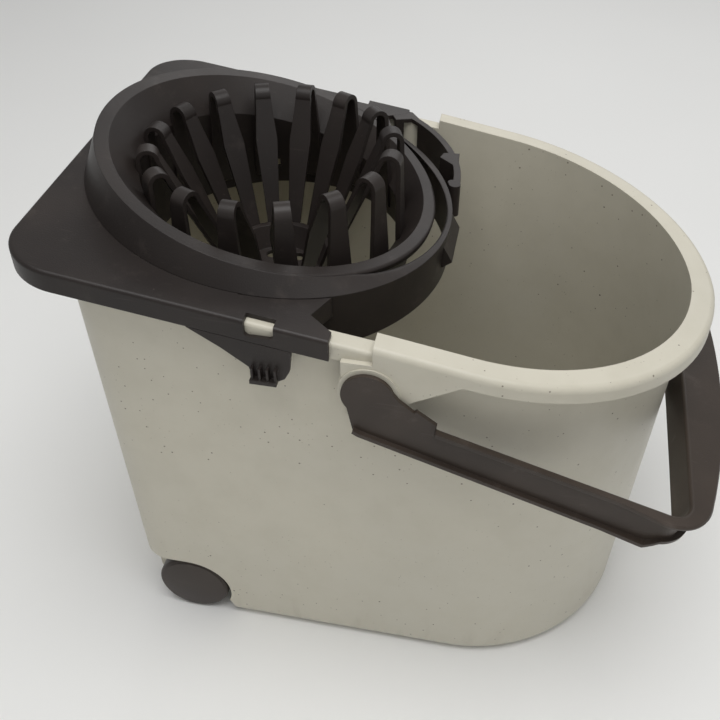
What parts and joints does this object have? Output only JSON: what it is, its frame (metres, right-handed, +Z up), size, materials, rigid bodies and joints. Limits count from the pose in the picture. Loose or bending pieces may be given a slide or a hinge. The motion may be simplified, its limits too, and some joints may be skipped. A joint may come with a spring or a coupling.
{
  "type": "mop bucket with wringer",
  "caption": "Wheeled cream mop bucket with a sloping rim and pouring nose, a dark lift-off wringer basket with press fingers and stick hook, and a brown bail handle.",
  "frame": {"origin": "on the floor below the middle of the base, at the middle of the flat resting face", "axes": "+X points to the pouring nose, +Y to the far side that carries the stick holder, +Z up"},
  "size_m": [0.4398, 0.3068, 0.3687],
  "materials": {
    "speckled_cream_plastic": "satin moulded plastic with sparse dark specks",
    "brown_plastic": "satin dark brown moulded plastic",
    "anthracite_plastic": "satin anthracite brown moulded plastic",
    "wheel_plastic": "smooth dark moulded plastic",
    "axle_steel": "plain drawn steel"
  },
  "bodies": {
    "bucket": {"bucket_shell": "speckled_cream_plastic", "wheel_axle_near": "axle_steel", "wheel_axle_far": "axle_steel"},
    "handle": {"handle_bail": "brown_plastic", "handle_stud_near": "brown_plastic", "handle_stud_far": "brown_plastic"},
    "near_wheel": {"wheel_near": "wheel_plastic", "wheel_cap_near": "wheel_plastic"},
    "far_wheel": {"wheel_far": "wheel_plastic", "wheel_cap_far": "wheel_plastic"},
    "wringer": {"wringer_deck": "anthracite_plastic", "wringer_collar": "anthracite_plastic", "basket_cup": "anthracite_plastic", "stick_holder": "anthracite_plastic", "press_finger_01": "anthracite_plastic", "press_finger_02": "anthracite_plastic", "press_finger_03": "anthracite_plastic", "press_finger_04": "anthracite_plastic", "press_finger_05": "anthracite_plastic", "press_finger_06": "anthracite_plastic", "press_finger_07": "anthracite_plastic", "press_finger_08": "anthracite_plastic", "press_finger_09": "anthracite_plastic", "press_finger_10": "anthracite_plastic", "press_finger_11": "anthracite_plastic", "press_finger_12": "anthracite_plastic", "press_finger_13": "anthracite_plastic", "press_finger_14": "anthracite_plastic", "press_finger_15": "anthracite_plastic", "press_finger_16": "anthracite_plastic"},
    "near_clip": {"rim_clip_near": "anthracite_plastic"},
    "far_clip": {"rim_clip_far": "anthracite_plastic"}
  },
  "joints": [
    {"name": "handle_swing", "type": "hinge", "parent": "bucket", "child": "handle", "pos_m": [0.0078, 0, 0.2797], "axis": [0, -1, 0], "range_deg": [0, 172]},
    {"name": "near_wheel_spin", "type": "hinge", "parent": "bucket", "child": "near_wheel", "pos_m": [-0.134, -0.11, 0.0275], "axis": [0, 1, 0], "continuous": true},
    {"name": "far_wheel_spin", "type": "hinge", "parent": "bucket", "child": "far_wheel", "pos_m": [-0.134, 0.11, 0.0275], "axis": [0, 1, 0], "continuous": true},
    {"name": "wringer_lift", "type": "slide", "parent": "bucket", "child": "wringer", "axis": [0, 0, 1], "range_m": [0, 0.25]},
    {"name": "near_clip_flex", "type": "hinge", "parent": "wringer", "child": "near_clip", "pos_m": [-0.06675, -0.1407, 0.30646], "axis": [-0.9889, 0, 0.1483], "range_deg": [0, 8], "stiffness_Nm_per_rad": 0.05},
    {"name": "far_clip_flex", "type": "hinge", "parent": "wringer", "child": "far_clip", "pos_m": [-0.06675, 0.1407, 0.30646], "axis": [0.9889, 0, -0.1483], "range_deg": [0, 8], "stiffness_Nm_per_rad": 0.05}
  ]
}
